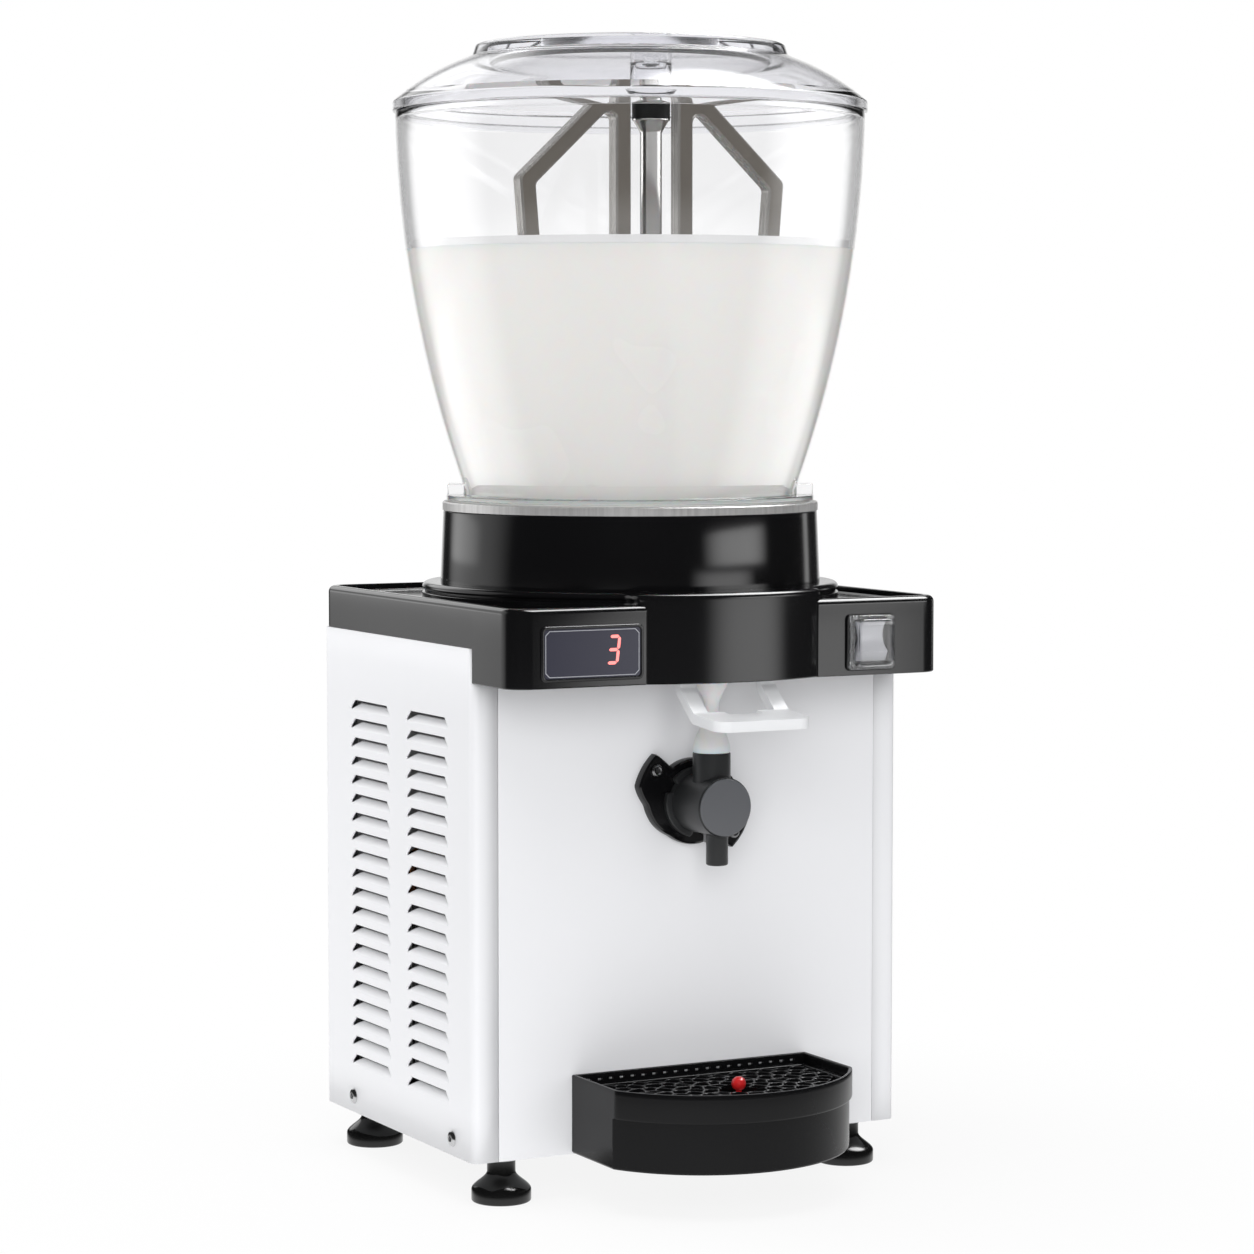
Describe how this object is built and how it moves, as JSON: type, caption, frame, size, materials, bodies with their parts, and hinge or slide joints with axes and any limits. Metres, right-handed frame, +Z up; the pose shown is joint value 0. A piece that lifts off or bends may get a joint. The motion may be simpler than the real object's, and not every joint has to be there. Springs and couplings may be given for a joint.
{
  "type": "ayran dispenser",
  "caption": "Countertop cooled ayran dispenser: louvred cabinet, clear bowl with paddle agitator and domed lid, foaming tap with pull lever, drip tray with float.",
  "frame": {"origin": "on the worktop, under the middle of the machine's bounding box", "axes": "+Z up, -Y towards the user, +X to the user's right"},
  "size_m": [0.3032, 0.3379, 0.7138],
  "materials": {
    "panel_white": "satin white powder coat",
    "pan_steel": "galvanised sheet",
    "screw_steel": "bright screw",
    "cover_black": "gloss black moulding",
    "stainless": "polished stainless",
    "clear": "clear polycarbonate",
    "gasket_rubber": "white silicone",
    "seal_rubber": "black rubber",
    "paddle_grey": "smooth grey plastic",
    "shaft_steel": "polished shaft",
    "cap_black": "black cap",
    "tap_charcoal": "satin charcoal",
    "tube_silicone": "milky silicone",
    "lever_white": "white plastic",
    "bezel_grey": "satin dark grey",
    "display_glass": "tinted window",
    "board_green": "circuit board",
    "switch_black": "black switch",
    "tray_black": "satin black",
    "float_red": "red float",
    "foot_black": "black foot",
    "bush_steel": "turned bush",
    "foam": "insulating foam",
    "copper": "copper pipe",
    "fin_aluminium": "fin pack",
    "compressor_black": "black painted can",
    "motor_steel": "motor can",
    "fan_black": "black fan",
    "beam_steel": "folded sheet",
    "inlet_black": "black inlet"
  },
  "bodies": {
    "cabinet": {"base_pan": "pan_steel", "foot_bushes": "bush_steel", "left_panel": "panel_white", "right_panel": "panel_white", "front_panel": "panel_white", "rear_panel": "panel_white", "panel_screws": "screw_steel", "top_cover": "cover_black", "fascia_floor": "cover_black", "pedestal_drum": "cover_black", "cold_plate": "stainless", "plate_insulation": "foam", "evaporator_coil": "copper", "bowl_gasket": "gasket_rubber", "agitator_seal": "seal_rubber", "deck_beam": "beam_steel", "gear_motor": "motor_steel", "outlet_spigot": "stainless", "pinch_tube": "tube_silicone", "foaming_chamber": "tap_charcoal", "chamber_flange": "cover_black", "flange_screws": "screw_steel", "chamber_seal": "seal_rubber", "foamer_motor": "motor_steel", "lever_pin": "screw_steel", "lever_spring": "screw_steel", "display_bezel": "bezel_grey", "display_glass": "display_glass", "controller_board": "board_green", "switch_housing": "switch_black", "switch_boot": "clear", "compressor": "compressor_black", "compressor_grommets": "seal_rubber", "condenser": "fin_aluminium", "fan_shroud": "pan_steel", "fan_motor": "motor_steel", "filter_drier": "copper", "capillary_tube": "copper", "discharge_line": "copper", "suction_line": "copper", "power_inlet": "inlet_black"},
    "bowl": {"bowl": "clear"},
    "lid": {"lid": "clear"},
    "agitator": {"agitator_shaft": "shaft_steel", "agitator_cap": "cap_black", "agitator_hub": "paddle_grey", "paddle_left": "paddle_grey", "paddle_right": "paddle_grey"},
    "impeller": {"impeller": "lever_white"},
    "cooling_fan": {"cooling_fan": "fan_black"},
    "lever": {"lever": "lever_white"},
    "rocker": {"rocker": "switch_black"},
    "drip_tray": {"drip_tray": "tray_black"},
    "drip_grid": {"drip_grid": "tray_black"},
    "float_indicator": {"float_indicator": "float_red"},
    "foot_front_left": {"foot_front_left": "foot_black"},
    "foot_front_right": {"foot_front_right": "foot_black"},
    "foot_rear_left": {"foot_rear_left": "foot_black"},
    "foot_rear_right": {"foot_rear_right": "foot_black"}
  },
  "joints": [
    {"name": "bowl_lift", "type": "slide", "parent": "cabinet", "child": "bowl", "axis": [0, 0, 1], "range_m": [0, 0.08]},
    {"name": "lid_lift", "type": "slide", "parent": "bowl", "child": "lid", "axis": [0, 0, 1], "range_m": [0, 0.12]},
    {"name": "agitator_spin", "type": "hinge", "parent": "cabinet", "child": "agitator", "pos_m": [0, -0.00925, 0.4], "axis": [0, 0, 1], "continuous": true},
    {"name": "impeller_spin", "type": "hinge", "parent": "cabinet", "child": "impeller", "pos_m": [0, -0.08195, 0.2425], "axis": [0, 1, 0], "continuous": true},
    {"name": "fan_spin", "type": "hinge", "parent": "cabinet", "child": "cooling_fan", "pos_m": [-0.105, 0.06742, 0.1022], "axis": [1, 0, 0], "continuous": true},
    {"name": "lever_pull", "type": "hinge", "parent": "cabinet", "child": "lever", "pos_m": [0, -0.10795, 0.335], "axis": [-1, 0, 0], "range_deg": [0, 18], "stiffness_Nm_per_rad": 0.3, "springref_deg": -11.46},
    {"name": "rocker_tip", "type": "hinge", "parent": "cabinet", "child": "rocker", "pos_m": [0.0968, -0.11195, 0.3415], "axis": [1, 0, 0], "range_deg": [0, 16]},
    {"name": "tray_pull", "type": "slide", "parent": "cabinet", "child": "drip_tray", "axis": [0, -1, 0], "range_m": [0, 0.14]},
    {"name": "grid_lift", "type": "slide", "parent": "drip_tray", "child": "drip_grid", "axis": [0, 0, 1], "range_m": [0, 0.05]},
    {"name": "float_rise", "type": "slide", "parent": "drip_grid", "child": "float_indicator", "axis": [0, 0, 1], "range_m": [0, 0.006]},
    {"name": "foot_front_left_height", "type": "slide", "parent": "cabinet", "child": "foot_front_left", "axis": [0, 0, -1], "range_m": [0, 0.008]},
    {"name": "foot_front_right_height", "type": "slide", "parent": "cabinet", "child": "foot_front_right", "axis": [0, 0, -1], "range_m": [0, 0.008]},
    {"name": "foot_rear_left_height", "type": "slide", "parent": "cabinet", "child": "foot_rear_left", "axis": [0, 0, -1], "range_m": [0, 0.008]},
    {"name": "foot_rear_right_height", "type": "slide", "parent": "cabinet", "child": "foot_rear_right", "axis": [0, 0, -1], "range_m": [0, 0.008]}
  ]
}
